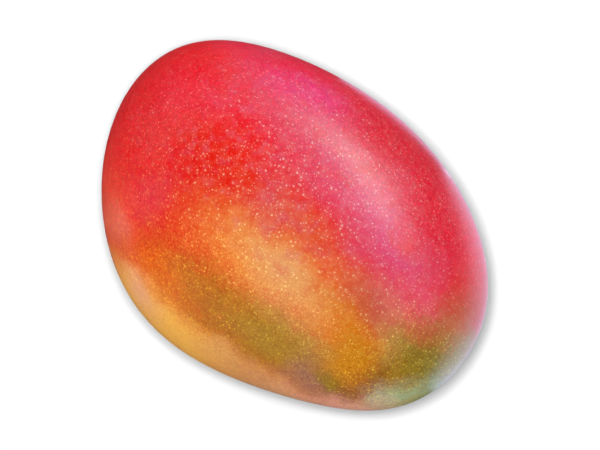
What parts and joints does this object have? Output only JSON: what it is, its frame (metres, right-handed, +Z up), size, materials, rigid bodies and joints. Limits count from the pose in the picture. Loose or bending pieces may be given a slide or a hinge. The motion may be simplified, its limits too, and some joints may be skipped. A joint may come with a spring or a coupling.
{
  "type": "mango",
  "caption": "Whole ripe mango lying on its cheek, a rounded lopsided egg with a small flat spot to rest on.",
  "frame": {"origin": "on the resting plane, under the middle of the fruit's box", "axes": "+X along the fruit to its apex, -X to the stem end, +Y across the fruit to its redder, blunter edge, +Z up through the upper cheek"},
  "size_m": [0.1182, 0.087, 0.0773],
  "materials": {
    "skin": "smooth satin skin with a thin wax bloom, crimson and pink over orange and green, dotted with pale lenticels"
  },
  "bodies": {
    "root": {"mango": "skin"}
  },
  "joints": []
}
